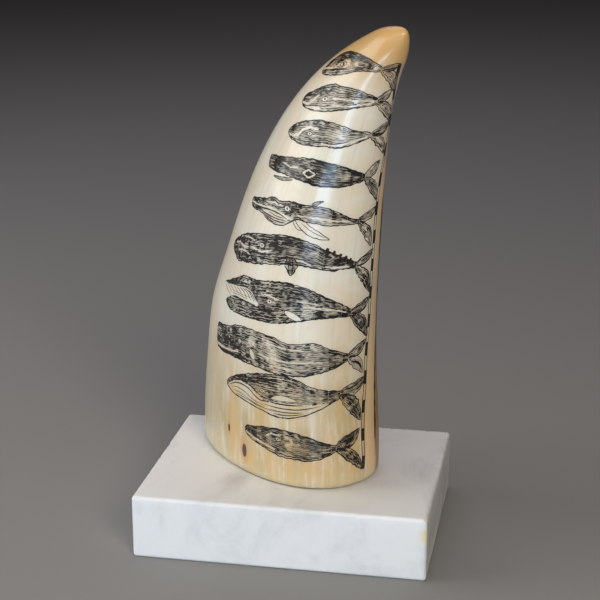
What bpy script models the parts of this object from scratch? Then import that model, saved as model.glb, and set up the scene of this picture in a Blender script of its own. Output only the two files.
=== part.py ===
# An engraved whale tooth standing on a polished white marble block.
# Metres, +Z up. The origin is the centre of the block's underside, +X runs to the right
# along the block's long front edge, and +Y runs from the front to the back.

import math

import bmesh
import bpy
import numpy as np

# Marble block
BLOCK_LENGTH = 0.1000
BLOCK_DEPTH = 0.0780
BLOCK_HEIGHT = 0.0222
BLOCK_EDGE_ROUND = 0.0012

# Where the tooth stands on the block. The turn is that of its long foot axis from +X.
SEAT_CLEARANCE = 0.0003
TOOTH_X = -0.0062
TOOTH_Y = 0.0080
TOOTH_TURN = math.radians(-37.6)

# Whale tooth. The height is that of its curved centre line above the foot.
TOOTH_HEIGHT = 0.1560
FOOT_BREADTH = 0.0768
FOOT_THICKNESS = 0.0453
FOOT_EDGE_ROUND = 0.0025
TIP_ROUND = 0.0060
SHOULDER_SWELL = 0.0028   # a swell on the convex back edge: its depth,
SHOULDER_HEIGHT = 0.0493  # its middle above the foot
SHOULDER_SPREAD = 0.0147  # and its spread up and down

# The tooth's free form, from foot to tip, as control values of Bernstein curves.
# The lean is a share of the height, and the others are shares of the foot's half sizes.
LEAN = (0.0, 0.0, -0.002, 0.027, 0.073, 0.114, 0.163, 0.361)
BREADTH = (1.0, 1.039, 0.836, 0.702, 0.781, 0.439, 0.104)
THICKNESS = (1.0, 1.052, 0.923, 0.879, 0.154)
SECTION_POWER = 2.10     # 2 is an ellipse, more is squarer
FRONT_FULLNESS = 0.18    # how much thicker the section is towards the concave front edge

# Mesh fineness
SIDES = 52
FOOT_ROWS = 4
BODY_ROWS = 36
TIP_ROWS = 6
BLOCK_EDGE_STEPS = 3


def clear_scene():
    for obj in list(bpy.data.objects):
        bpy.data.objects.remove(obj, do_unlink=True)


def make_material(name, colour, roughness):
    material = bpy.data.materials.new(name)
    material.use_nodes = True
    shader = material.node_tree.nodes["Principled BSDF"]
    shader.inputs["Base Color"].default_value = (*colour, 1.0)
    shader.inputs["Roughness"].default_value = roughness
    shader.inputs["Metallic"].default_value = 0.0
    return material


def bernstein(share, controls):
    """The smooth curve through the first and last control value, pulled towards the others."""
    degree = len(controls) - 1
    return sum(
        math.comb(degree, k) * share**k * (1.0 - share) ** (degree - k) * value
        for k, value in enumerate(controls)
    )


def bernstein_slope(share, controls):
    degree = len(controls) - 1
    return bernstein(share, degree * np.diff(controls))


def section_rows():
    """Height share, inset and scale of each section, from the rounded foot edge to the tip."""
    foot_turn = np.linspace(0.0, math.pi / 2, FOOT_ROWS + 1)
    foot_share = FOOT_EDGE_ROUND * (1.0 - np.cos(foot_turn)) / TOOTH_HEIGHT
    foot_inset = FOOT_EDGE_ROUND * (1.0 - np.sin(foot_turn))
    tip_share = TIP_ROUND / TOOTH_HEIGHT
    body_share = np.linspace(foot_share[-1], 1.0 - tip_share, BODY_ROWS + 1)[1:]
    tip_turn = np.linspace(0.0, math.pi / 2, TIP_ROWS + 1)[1:]
    share = np.concatenate([foot_share, body_share, 1.0 - tip_share * (1.0 - np.sin(tip_turn))])
    inset = np.concatenate([foot_inset, np.zeros(BODY_ROWS + TIP_ROWS)])
    scale = np.concatenate([np.ones(FOOT_ROWS + 1 + BODY_ROWS), np.cos(tip_turn)])
    return share, inset, scale


def tooth_points():
    """Rows of points round the tooth: superellipses square to a centre line that leans along +X."""
    share, inset, scale = section_rows()
    centre_x = TOOTH_HEIGHT * bernstein(share, LEAN)
    centre_z = TOOTH_HEIGHT * share
    lean_angle = np.arctan(bernstein_slope(share, LEAN))
    half_breadth = (FOOT_BREADTH / 2 * bernstein(share, BREADTH) - inset) * scale
    half_thickness = (FOOT_THICKNESS / 2 * bernstein(share, THICKNESS) - inset) * scale
    swell = SHOULDER_SWELL * np.exp(-(((centre_z - SHOULDER_HEIGHT) / SHOULDER_SPREAD) ** 2))

    around = np.arange(SIDES) * 2.0 * math.pi / SIDES
    cosine, sine = np.cos(around), np.sin(around)
    power = 2.0 / SECTION_POWER
    along = np.sign(cosine) * np.abs(cosine) ** power
    across = np.sign(sine) * np.abs(sine) ** power * (1.0 + FRONT_FULLNESS * cosine)
    reach = half_breadth[:, None] * along - swell[:, None] * np.maximum(-cosine, 0.0) ** 2

    points = np.empty((len(share), SIDES, 3))
    points[..., 0] = centre_x[:, None] + reach * np.cos(lean_angle)[:, None]
    points[..., 1] = half_thickness[:, None] * across
    points[..., 2] = centre_z[:, None] - reach * np.sin(lean_angle)[:, None]
    return points


def build_tooth():
    points = tooth_points()
    shape = bmesh.new()
    rings = [[shape.verts.new(point) for point in row] for row in points[:-1]]
    tip = shape.verts.new(points[-1].mean(axis=0))
    for lower, upper in zip(rings, rings[1:]):
        for k in range(SIDES):
            after = (k + 1) % SIDES
            shape.faces.new((lower[k], lower[after], upper[after], upper[k]))
    for k in range(SIDES):
        shape.faces.new((rings[-1][k], rings[-1][(k + 1) % SIDES], tip))
    shape.faces.new(reversed(rings[0]))
    mesh = bpy.data.meshes.new("whale_tooth")
    shape.to_mesh(mesh)
    shape.free()
    mesh.shade_smooth()
    mesh.set_sharp_from_angle(angle=math.radians(50))

    tooth = bpy.data.objects.new("whale_tooth", mesh)
    bpy.context.collection.objects.link(tooth)
    tooth.location = (TOOTH_X, TOOTH_Y, BLOCK_HEIGHT + SEAT_CLEARANCE)
    tooth.rotation_euler.z = TOOTH_TURN
    tooth.data.materials.append(make_material("ivory", (0.80, 0.70, 0.52), 0.25))
    return tooth


def build_block():
    shape = bmesh.new()
    bmesh.ops.create_cube(shape, size=1.0)
    bmesh.ops.scale(shape, verts=shape.verts, vec=(BLOCK_LENGTH, BLOCK_DEPTH, BLOCK_HEIGHT))
    bmesh.ops.translate(shape, verts=shape.verts, vec=(0.0, 0.0, BLOCK_HEIGHT / 2))
    mesh = bpy.data.meshes.new("marble_base")
    shape.to_mesh(mesh)
    shape.free()

    block = bpy.data.objects.new("marble_base", mesh)
    bpy.context.collection.objects.link(block)
    bevel = block.modifiers.new("edge_round", "BEVEL")
    bevel.width = BLOCK_EDGE_ROUND
    bevel.segments = BLOCK_EDGE_STEPS
    block.data.materials.append(make_material("white_marble", (0.78, 0.78, 0.79), 0.22))
    return block


clear_scene()
build_block()
build_tooth()
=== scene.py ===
# The looks of an engraved whale tooth on a white marble block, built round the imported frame.
# Metres, +Z up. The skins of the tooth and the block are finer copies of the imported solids, and
# the engraving is thin ribbons of ink, laid into the tooth's skin.

import math

import bpy
import numpy as np
from mathutils import Matrix, Vector, noise


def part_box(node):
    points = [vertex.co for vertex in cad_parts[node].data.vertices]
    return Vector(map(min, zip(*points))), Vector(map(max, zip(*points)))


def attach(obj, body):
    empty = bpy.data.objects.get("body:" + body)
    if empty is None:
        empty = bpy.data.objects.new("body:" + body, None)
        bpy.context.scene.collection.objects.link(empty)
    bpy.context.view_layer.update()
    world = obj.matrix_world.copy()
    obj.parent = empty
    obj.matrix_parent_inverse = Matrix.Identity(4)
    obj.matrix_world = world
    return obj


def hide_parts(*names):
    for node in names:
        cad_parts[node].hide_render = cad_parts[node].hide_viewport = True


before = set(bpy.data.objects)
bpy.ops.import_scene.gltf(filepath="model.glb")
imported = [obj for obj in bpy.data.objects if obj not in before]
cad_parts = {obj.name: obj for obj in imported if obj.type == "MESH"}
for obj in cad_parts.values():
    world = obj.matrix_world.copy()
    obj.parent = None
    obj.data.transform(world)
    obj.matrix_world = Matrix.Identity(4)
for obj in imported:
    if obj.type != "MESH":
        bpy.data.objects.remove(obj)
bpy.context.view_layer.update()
mm = 0.001


# Shader maths

class Wire:
    # One output socket. An expression on wires and numbers adds its Math nodes.
    def __init__(self, finish, socket):
        self.finish = finish
        self.socket = socket

    def maths(self, operation, first, second=0.0):
        return self.finish.node("ShaderNodeMath", {"operation": operation}, {0: first, 1: second})

    def __add__(self, other):
        return self.maths("ADD", self, other)

    def __radd__(self, other):
        return self.maths("ADD", other, self)

    def __sub__(self, other):
        return self.maths("SUBTRACT", self, other)

    def __rsub__(self, other):
        return self.maths("SUBTRACT", other, self)

    def __mul__(self, other):
        return self.maths("MULTIPLY", self, other)

    def __rmul__(self, other):
        return self.maths("MULTIPLY", other, self)

    def distance(self):
        return self.maths("ABSOLUTE", self)

    def between(self, low, high):
        # 0 below low and 1 above high, with a smooth ramp from one to the other
        settings = {"interpolation_type": "SMOOTHSTEP"}
        values = {"Value": self, "From Min": low, "From Max": high}
        return self.finish.node("ShaderNodeMapRange", settings, values)


class Finish:
    # A material whose shader holds the constants, and whose patterns are wired in afterwards
    def __init__(self, name, constants):
        self.material = bpy.data.materials.new(name)
        self.material.use_nodes = True
        self.nodes = self.material.node_tree.nodes
        self.links = self.material.node_tree.links
        self.shader = self.nodes["Principled BSDF"]
        for key, value in constants.items():
            self.shader.inputs[key].default_value = value

    def node(self, kind, settings, values, output=0):
        # Any node: its settings first, then the values or wires of its sockets
        made = self.nodes.new(kind)
        for key, value in settings.items():
            setattr(made, key, value)
        for key, value in values.items():
            if isinstance(value, Wire):
                self.links.new(value.socket, made.inputs[key])
            else:
                made.inputs[key].default_value = value
        return Wire(self, made.outputs[output])

    def position(self, scale=(1.0, 1.0, 1.0), turn=(0.0, 0.0, 0.0)):
        # Object coordinates in millimetres, turned and then stretched by scale
        place = self.node("ShaderNodeTexCoord", {}, {}, "Object")
        values = {"Vector": place, "Rotation": turn, "Scale": tuple(s / mm for s in scale)}
        return self.node("ShaderNodeMapping", {}, values)

    def attribute(self, name, output="Fac"):
        return self.node("ShaderNodeAttribute", {"attribute_name": name}, {}, output)

    def noise(self, where, scale, detail=3.0, roughness=0.55, distortion=0.0):
        values = {"Vector": where, "Scale": scale, "Detail": detail}
        values.update({"Roughness": roughness, "Distortion": distortion})
        return self.node("ShaderNodeTexNoise", {}, values)

    def mix(self, share, first, second):
        # Colours: first where share is 0, second where it is 1
        first = (*first, 1.0) if isinstance(first, tuple) else first
        second = (*second, 1.0) if isinstance(second, tuple) else second
        return self.node("ShaderNodeMix", {"data_type": "RGBA"}, {0: share, 6: first, 7: second}, 2)

    def layered(self, colours, ground, layers):
        # A ground colour under layers, each a share and the name of its colour
        colour = colours[ground]
        for share, name in layers:
            colour = self.mix(share, colour, colours[name])
        return colour

    def bump(self, height, strength, distance):
        values = {"Height": height, "Strength": strength, "Distance": distance}
        self.feed("Normal", self.node("ShaderNodeBump", {}, values))

    def feed(self, socket, wire):
        self.links.new(wire.socket, self.shader.inputs[socket])


# Meshes

def makePiece(name, points, faces, finish, smooth=True):
    mesh = bpy.data.meshes.new(name)
    mesh.from_pydata(points.tolist(), [], faces)
    mesh.polygons.foreach_set("use_smooth", [smooth] * len(faces))
    mesh.materials.append(finish.material)
    mesh.update()
    piece = bpy.data.objects.new(name, mesh)
    bpy.context.scene.collection.objects.link(piece)
    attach(piece, "root")
    return piece


def nameValues(piece, name, values, kind="FLOAT"):
    # Puts one number, or one vector, on each vertex for the material to read.
    layer = piece.data.attributes.new(name, kind, "POINT")
    layer.data.foreach_set("value" if kind == "FLOAT" else "vector", values.astype(np.float32).ravel())


def smoothLine(points, places):
    # The smooth curve y(x) through points: cubic pieces whose slopes at the points are those
    # of the chords beside them.
    x, y = np.array(points, float).T
    slope = np.gradient(y, x)
    k = np.clip(np.searchsorted(x, places) - 1, 0, len(x) - 2)
    gap = x[k + 1] - x[k]
    t = np.clip((places - x[k]) / gap, 0, 1)
    rise = (1 + 2 * t) * (1 - t) ** 2 * y[k] + t * t * (3 - 2 * t) * y[k + 1]
    return rise + gap * (t * (1 - t) ** 2 * slope[k] - t * t * (1 - t) * slope[k + 1])


def smoothPath(points, count):
    # The smooth curve through points in the plane, as count points an equal step apart.
    points = np.array(points, float)
    steps = np.linalg.norm(np.diff(points, axis=0), axis=1)
    points = points[np.concatenate([[True], steps > 1e-4])]
    length = np.concatenate([[0], np.cumsum(steps[steps > 1e-4])])
    fine = np.linspace(0, length[-1], max(400, 3 * count))
    curve = np.stack([smoothLine(np.stack([length, points[:, k]], 1), fine) for k in (0, 1)], 1)
    length = np.concatenate([[0], np.cumsum(np.linalg.norm(np.diff(curve, axis=0), axis=1))])
    even = np.linspace(0, length[-1], count)
    return np.stack([np.interp(even, length, curve[:, k]) for k in (0, 1)], 1)


def softNoise(rng, rows, columns, coarseRows, coarseColumns):
    # Random numbers from 0 to 1 on a coarse grid, blended smoothly to the fine one.
    coarse = rng.random((coarseRows + 1, coarseColumns + 1))
    row = np.linspace(0, coarseRows - 1e-6, rows)
    column = np.linspace(0, coarseColumns - 1e-6, columns)
    i, j = row.astype(int)[:, None], column.astype(int)[None, :]
    u, v = row[:, None] - i, column[None, :] - j
    u, v = u * u * (3 - 2 * u), v * v * (3 - 2 * v)
    lower = coarse[i, j] * (1 - v) + coarse[i, j + 1] * v
    upper = coarse[i + 1, j] * (1 - v) + coarse[i + 1, j + 1] * v
    return lower * (1 - u) + upper * u


# The tooth's form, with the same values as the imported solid

tooth = {
    "x": -0.0062, "y": 0.0080, "turn": math.radians(-37.6),  # its place on the block
    "height": 0.1560, "breadth": 0.0768, "thickness": 0.0453,
    "footRound": 0.0025, "tipRound": 0.0060,
    "swell": 0.0028, "swellHeight": 0.0493, "swellSpread": 0.0147,
    "lean": (0.0, 0.0, -0.002, 0.027, 0.073, 0.114, 0.163, 0.361),
    "breadths": (1.0, 1.039, 0.836, 0.702, 0.781, 0.439, 0.104),
    "thicknesses": (1.0, 1.052, 0.923, 0.879, 0.154),
    "sectionPower": 2.10, "frontFullness": 0.18,
    "footRows": 8, "bodyRows": 272, "tipRows": 26, "columns": 300,  # fineness of the skin
}
tooth["foot"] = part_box("whale_tooth")[0].z


def bernstein(share, controls):
    # The smooth curve through the first and last control value, pulled towards the others
    degree = len(controls) - 1
    weights = [math.comb(degree, k) * share**k * (1 - share) ** (degree - k) for k in range(degree + 1)]
    return sum(weight * value for weight, value in zip(weights, controls))


def toothPoint(share, turn):
    # Superellipses square to a leaning centre line. With share as height / whole height and
    # turn as the angle from the concave front edge: reach = half breadth * cos^(2/power) less the
    # swell, depth = half thickness * sin^(2/power), and the section leans by the line's own angle.
    share = np.asarray(share, float)
    height = tooth["height"]
    footFall = np.clip(1 - share * height / tooth["footRound"], 0, 1)
    inset = tooth["footRound"] * (1 - np.sqrt(1 - footFall**2))
    tipShare = tooth["tipRound"] / height
    scale = np.sqrt(1 - np.clip((share - 1 + tipShare) / tipShare, 0, 1) ** 2)
    angle = np.arctan(bernstein(share, (len(tooth["lean"]) - 1) * np.diff(tooth["lean"])))
    halfBreadth = (tooth["breadth"] / 2 * bernstein(share, tooth["breadths"]) - inset) * scale
    halfThickness = (tooth["thickness"] / 2 * bernstein(share, tooth["thicknesses"]) - inset) * scale
    aboveSwell = (height * share - tooth["swellHeight"]) / tooth["swellSpread"]
    swell = tooth["swell"] * np.exp(-(aboveSwell**2))
    cosine, sine = np.cos(turn), np.sin(turn)
    power = 2 / tooth["sectionPower"]
    along = np.sign(cosine) * np.abs(cosine) ** power
    across = np.sign(sine) * np.abs(sine) ** power * (1 + tooth["frontFullness"] * cosine)
    reach = halfBreadth * along - swell * np.maximum(-cosine, 0) ** 2
    x = height * bernstein(share, tooth["lean"]) + reach * np.cos(angle)
    y = halfThickness * across
    z = height * share - reach * np.sin(angle)
    c, s = math.cos(tooth["turn"]), math.sin(tooth["turn"])
    return np.stack([tooth["x"] + x * c - y * s, tooth["y"] + x * s + y * c, tooth["foot"] + z], -1)


# A chart of the skin: millimetres above the foot, and millimetres round from the front edge
# at that level, negative towards the engraved side

chart = {
    "turns": np.linspace(-math.pi, math.pi, 361),
    "levels": np.linspace(0.4, 155.2, 620),
    "rounds": np.linspace(-100, 100, 801),
}


def readTable(table, rows, columns, row, column):
    # Bilinear reading of a table whose rows and columns stand at even values
    u = np.clip((row - rows[0]) / (rows[1] - rows[0]), 0, len(rows) - 1.001)
    v = np.clip((column - columns[0]) / (columns[1] - columns[0]), 0, len(columns) - 1.001)
    i, j = u.astype(int), v.astype(int)
    u, v = u - i, v - j
    low = table[i, j] * (1 - v) + table[i, j + 1] * v
    high = table[i + 1, j] * (1 - v) + table[i + 1, j + 1] * v
    return low * (1 - u) + high * u


def makeChart():
    # For each turn, the share at every level; for each level, the way round to every turn.
    shares = np.linspace(0, 0.9999, 700)
    turns, levels = chart["turns"], chart["levels"]
    heights = (toothPoint(shares[:, None], turns[None, :])[..., 2] - tooth["foot"]) / mm
    columns = [np.interp(levels, heights[:, k], shares) for k in range(len(turns))]
    chart["share"] = np.stack(columns, axis=1)
    slices = toothPoint(chart["share"], turns[None, :]) / mm
    steps = np.linalg.norm(np.diff(slices, axis=1), axis=-1)
    girth = np.concatenate([np.zeros((len(levels), 1)), np.cumsum(steps, axis=1)], axis=1)
    girth -= girth[:, [len(turns) // 2]]
    chart["girth"] = girth
    chart["turn"] = np.stack([np.interp(chart["rounds"], row, turns) for row in girth])
    climb = np.linalg.norm(np.gradient(slices, axis=0), axis=-1)
    chart["stretch"] = climb / (levels[1] - levels[0])  # surface mm for each mm of height


def onTooth(up, along):
    # The skin's point and outward direction at these chart places
    turn = readTable(chart["turn"], chart["levels"], chart["rounds"], up, along)
    share = readTable(chart["share"], chart["levels"], chart["turns"], up, turn)
    small = 1e-3
    around = toothPoint(share, turn + small) - toothPoint(share, turn - small)
    upward = toothPoint(share + small, turn) - toothPoint(share - small, turn)
    outward = np.cross(around, upward)
    return toothPoint(share, turn), outward / np.linalg.norm(outward, axis=-1, keepdims=True)


makeChart()


# Engraved lines

ink = {
    "proud": 0.022,     # mm: how far a line of ink stands above the skin
    "depth": 0.10,      # mm: how deep it goes
    "thinnest": 0.045,  # mm: a thinner stroke isn't cut
    "step": 0.32,       # mm between the points of a hatch line
    "finSpacing": 0.3,  # mm between the hatch lines of a fin
    "crowded": 0.62,    # lines closer than this share of their spacing are thinned out
    "strokeStep": 0.4,  # mm between the points of a single stroke
    "scratch": 1.5,     # how much a hatch line's width varies along it
    "blotch": 0.7,      # how much it varies from one small patch to the next
    "broad": 0.5,       # from one wide patch to the next
    "bands": 0.8,       # and from one narrow band across the whale to the next
    "pairs": 0.34,      # how much every other line is wider, and the rest narrower
    "faintest": 0.12,   # a fainter share of ink leaves a break
    "outline": 0.34,    # mm: the line round a whale, where it names no other
    "finOutline": 0.28,  # and round a fin
    "ragged": 0.35,     # mm: how far a whale's outline wanders
    "wash": 0.36,       # how grey the ivory is between full hatch lines
    "eyeWide": 1.3,     # an eye's width in heights
    "eyeEdge": 0.26,    # mm: the line round it
    "pupil": 0.38,      # the pupil's half width, as a share of the eye's half height
    "firstSeed": 100,
}


def ribbons(up, along, width):
    # Each row of points becomes V-shaped prisms: two edges just above the skin, half the width
    # to each side of the path, and one line below it. A prism ends where the width is too thin.
    centre, outward = onTooth(up, along)
    travel = np.gradient(centre, axis=1)
    side = np.cross(travel, outward)
    side /= np.linalg.norm(side, axis=-1, keepdims=True) + 1e-12
    keep = width > ink["thinnest"]
    before = np.pad(keep, ((0, 0), (1, 0)))[:, :-1]
    after = np.pad(keep, ((0, 0), (0, 1)))[:, 1:]
    keep = keep & (before | after)
    half = side * (width * mm / 2)[..., None]
    lift = outward * ink["proud"] * mm
    bottom = centre - outward * ink["depth"] * mm
    corners = np.stack([centre - half + lift, centre + half + lift, bottom], 2)
    number = 3 * (np.cumsum(keep).reshape(keep.shape) - 1)
    joined = keep[:, :-1] & keep[:, 1:]
    a, b = number[:, :-1][joined], number[:, 1:][joined]
    first, last = number[keep & ~before], number[keep & ~after]
    top = np.stack([a, a + 1, b + 1, b], 1)
    left = np.stack([a, b, b + 2, a + 2], 1)
    right = np.stack([a + 1, a + 2, b + 2, b + 1], 1)
    start = np.stack([first, first + 2, first + 1], 1)
    end = np.stack([last + 1, last + 2, last], 1)
    return corners[keep].reshape(-1, 3), [top, left, right, start, end]


def makeInk(name, strokes, finish):
    # One piece from many strokes, each (millimetres up, millimetres round, width in mm)
    points, faces, count = [], [], 0
    for up, along, width in strokes:
        corners, groups = ribbons(up, along, width)
        points.append(corners)
        for group in groups:
            faces.extend((group + count).tolist())
        count += len(corners)
    return makePiece(name, np.concatenate(points), faces, finish, smooth=False)


class Drawing:
    # Collects the strokes of one whale, drawn in its own plane: x is millimetres from the snout
    # towards the tail, y is millimetres above the line from the snout to the root of the tail.
    def __init__(self, whale, seed):
        self.whale = whale
        self.rng = np.random.default_rng(seed)
        self.snout = np.array(whale["snout"], float)
        self.root = np.array(whale["root"], float)
        self.length = self.root[1] - self.snout[1]
        self.strokes = []
        self.pale = [(self.at(line), width) for line, width in whale["pale"]]
        self.windows = [(self.closed(line), keep, edge) for line, keep, edge in whale.get("windows", [])]
        self.windows += [(self.oval(*form), keep, edge) for *form, keep, edge in whale.get("ovals", [])]
        if "eye" in whale:
            x, y, size = whale["eye"]
            self.windows.append((self.oval(x, y, ink["eyeWide"] * size, size), 0.0, ink["eyeEdge"]))

    def at(self, points):
        # Points given as (share of the length, mm above the line), in millimetres
        return np.array(points, float) * (self.length, 1.0)

    def closed(self, points):
        # A smooth closed outline through points
        return smoothPath(self.at([*points, points[0]]), 40)

    def oval(self, x, y, length, width, tilt=0):
        angle = np.linspace(0, 2 * math.pi, 17)
        c, s = math.cos(math.radians(tilt)), math.sin(math.radians(tilt))
        u, v = length * np.cos(angle), width * np.sin(angle)
        return np.stack([x * self.length + u * c - v * s, y + u * s + v * c], 1)

    def toChart(self, x, y):
        share = x / self.length
        along = self.snout[1] + x
        line = self.snout[0] + (self.root[0] - self.snout[0]) * share
        up = line
        for _ in range(3):
            turn = readTable(chart["turn"], chart["levels"], chart["rounds"], up, along)
            stretch = readTable(chart["stretch"], chart["levels"], chart["turns"], up, turn)
            up = line + y / stretch
        return up, along

    def fromChart(self, up, along, stretch):
        x = along - self.snout[1]
        line = self.snout[0] + (self.root[0] - self.snout[0]) * x / self.length
        return x, (up - line) * stretch

    def line(self, points, width, taper=0.25):
        # A smooth stroke through points in mm, thinning to nothing over a share of each end
        points = np.asarray(points, float)
        rough = np.linalg.norm(np.diff(points, axis=0), axis=1).sum()
        count = max(6, int(rough / ink["strokeStep"]))
        path = smoothPath(points, count)
        t = np.linspace(0, 1, count)
        ends = np.clip(np.minimum(t, 1 - t) / max(taper, 1e-3), 0, 1) ** 0.6
        wander = softNoise(self.rng, 1, count, 1, max(2, count // 5))[0]
        widths = np.maximum(width * (0.75 + 0.5 * wander) * ends, ink["thinnest"] * 1.05)
        up, along = self.toChart(path[:, 0], path[:, 1])
        self.strokes.append((up[None], along[None], widths[None]))

    def edges(self):
        # The body's upper and lower edge: smooth lines through the given points, drawn together
        # near the snout as the ends of an ellipse.
        whale = self.whale
        x = np.linspace(0, 1, max(30, int(self.length / ink["step"])))
        back = smoothLine(whale["back"], x)
        belly = smoothLine(whale["belly"], x)
        nose = whale["nose"]
        close = np.sqrt(1 - np.clip(1 - x / nose, 0, 1) ** 2) if nose else np.ones(len(x))
        middle = (back[0] + belly[0]) / 2
        wavy = (softNoise(self.rng, 2, len(x), 1, len(x) // 3) - 0.5) * whale.get("ragged", ink["ragged"])
        back = middle + (back - middle) * close + wavy[0] * close
        belly = middle + (belly - middle) * close + wavy[1] * close
        return np.stack([x * self.length, back], 1), np.stack([x * self.length, belly], 1)

    def tone(self, x, y, level):
        # How dark the whale is at a place, from 0 to 1: its own tone, more at the back, less at
        # the belly, with round patches added or taken away, and little or nothing on the pale
        # lines and in the windows.
        own, back, belly = self.whale["tones"]
        dark = own + back * np.clip((level - 0.55) / 0.45, 0, 1)
        dark = dark + belly * np.clip((0.35 - level) / 0.35, 0, 1)
        for px, py, rx, ry, change in self.whale["patches"]:
            dark = dark + change * np.exp(-(((x / self.length - px) / rx) ** 2) - ((y - py) / ry) ** 2)
        dark = np.clip(dark, 0, 1)
        for path, width in self.pale:
            away = pathDistance(x, y, path)
            dark = dark * np.clip((away - width / 2) / 0.25, 0, 1)
        for outline, keep, _ in self.windows:
            dark = dark * np.where(insideOutline(x, y, outline), keep, 1)
        return dark

    def hatch(self, lower, upper, tone, spacing):
        # Lines that run from end to end between two edges, each as wide as the tone asks, with
        # breaks and patches at random
        across = np.linalg.norm(upper - lower, axis=1)
        rows = max(3, int(round(across.max() / spacing)))
        samples = len(lower)
        level = (np.arange(rows)[:, None] + 0.5) / rows
        drift = softNoise(self.rng, rows, samples, rows, max(2, samples // 10)) - 0.5
        level = np.clip(level + drift * 0.9 / rows, 0.01, 0.99)
        place = lower[None] * (1 - level[..., None]) + upper[None] * level[..., None]
        # Where the lines crowd, only every second, fourth and so on is held, and is wider
        gap = across[None, :] / rows
        crowding = np.clip(ink["crowded"] * spacing / np.maximum(gap, 1e-3), 1, 32)
        skip = 2 ** np.ceil(np.log2(crowding)).astype(int)
        held = (np.arange(rows)[:, None] % skip) == 0
        fine = softNoise(self.rng, rows, samples, rows, max(2, samples // 3))
        blotch = softNoise(self.rng, rows, samples, max(2, rows // 2), max(2, samples // 5))
        broad = softNoise(self.rng, rows, samples, max(2, rows // 5), max(2, samples // 12))
        bands = softNoise(self.rng, rows, samples, 2, max(2, samples // 4))
        dark = tone(place[..., 0], place[..., 1], level)
        patchy = ink["blotch"] * (blotch - 0.5) + ink["broad"] * (broad - 0.5)
        patchy = patchy + ink["bands"] * (bands - 0.5)
        paired = 1 + ink["pairs"] * (1 - dark**3) * np.cos(math.pi * np.arange(rows))[:, None]
        grain = np.clip(1 + ink["scratch"] * (fine - 0.5) + patchy, 0, 2) * paired
        width = np.where(dark * grain > ink["faintest"], gap * skip * dark * grain, 0) * held
        width = np.minimum(width, gap * skip * 1.15)
        up, along = self.toChart(place[..., 0], place[..., 1])
        self.strokes.append((up, along, width))

    def leaf(self, root, tip, breadth, bend, tone, rootBreadth=0.5, outline=ink["finOutline"]):
        # A fin or fluke: a bent centre line from root to tip, in mm, with
        # half breadth = root breadth * (1 - t) + breadth * sin(pi t)^0.8
        span = tip - root
        size = np.linalg.norm(span)
        square = np.array([-span[1], span[0]]) / size
        t = np.linspace(0, 1, max(12, int(size / ink["step"])))
        centre = root + span * t[:, None] + square * (bend * size * np.sin(math.pi * t))[:, None]
        half = rootBreadth * (1 - t) + breadth * np.sin(math.pi * t) ** 0.8
        wavy = (softNoise(self.rng, 2, len(t), 1, max(2, len(t) // 3)) - 0.5) * 0.3
        upper = centre + square * (half + wavy[0] * half)[:, None]
        lower = centre - square * (half + wavy[1] * half)[:, None]
        if tone:
            self.hatch(lower, upper, lambda x, y, level: np.full_like(x, tone), ink["finSpacing"])
        self.line(np.concatenate([lower, upper[::-1]]), outline, taper=0.02)

    def eye(self, x, y, size):
        # The pupil, in the window that the eye leaves
        x, half = x * self.length, ink["pupil"] * size
        self.line([(x - half, y), (x, y + 0.02), (x + half, y)], ink["pupil"] * 2 * size, taper=0.1)

    def draw(self):
        whale = self.whale
        self.upper, self.lower = self.edges()
        self.hatch(self.lower, self.upper, self.tone, whale["spacing"])
        closed = [np.concatenate([self.upper[::-1], self.lower])]
        for outline in [self.upper, self.lower] if whale.get("open") else closed:
            self.line(outline, whale.get("outline", ink["outline"]), taper=0.01)
        for points, width in whale["dark"]:
            self.line(self.at(points), width)
        for outline, _, edge in self.windows:
            if edge:
                self.line(outline, edge, taper=0.01)
        if "eye" in whale:
            self.eye(*whale["eye"])
        for root, tip, *form in whale["fins"]:
            self.leaf(self.at(root), self.at(tip), *form)
        return self.strokes

    def wash(self, up, along, stretch):
        # The grey that ink leaves between the lines, at places on the chart
        x, y = self.fromChart(up, along, stretch)
        top = np.interp(x, self.upper[:, 0], self.upper[:, 1])
        low = np.interp(x, self.lower[:, 0], self.lower[:, 1])
        level = (y - low) / np.maximum(top - low, 0.2)
        inside = (x > 0.3) & (x < self.length) & (level > 0.03) & (level < 0.97)
        tone = np.where(inside, self.tone(x, y, np.clip(level, 0, 1)), 0)
        return tone * self.whale.get("wash", ink["wash"])


def insideOutline(x, y, outline):
    # A place is inside where a ray from it crosses the outline an odd number of times.
    crossings = np.zeros(np.shape(x), int)
    for (ax, ay), (bx, by) in zip(outline, np.roll(outline, -1, axis=0)):
        if ay != by:
            crossings += ((ay > y) != (by > y)) & (x < ax + (y - ay) * (bx - ax) / (by - ay))
    return crossings % 2 == 1


def pathDistance(x, y, path):
    # The shortest way from each place to a path of straight pieces
    best = np.full(np.shape(x), 1e9)
    for (ax, ay), (bx, by) in zip(path[:-1], path[1:]):
        dx, dy = bx - ax, by - ay
        t = np.clip(((x - ax) * dx + (y - ay) * dy) / (dx * dx + dy * dy + 1e-12), 0, 1)
        best = np.minimum(best, np.hypot(x - ax - t * dx, y - ay - t * dy))
    return best


# The ten whales, from the tip down. The snout and the root of the tail are (mm above the foot, mm
# round from the front edge), and every other place is (share of the length, mm above the line from
# snout to root). The tones are the whale's own, what the back adds and what the belly adds.
# A patch is its place, its half sizes and its change of tone. Pale and dark lines are points and a
# width. A window is its outline, the share of the tone left inside and the width of its edge. An
# oval is its place, half length, half width, tilt, share left and edge. An eye is its place and
# half height. A fin is its root, tip, half breadth, bend and tone, then the half breadth at its
# root and the width of its outline where they aren't the usual ones.

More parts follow.
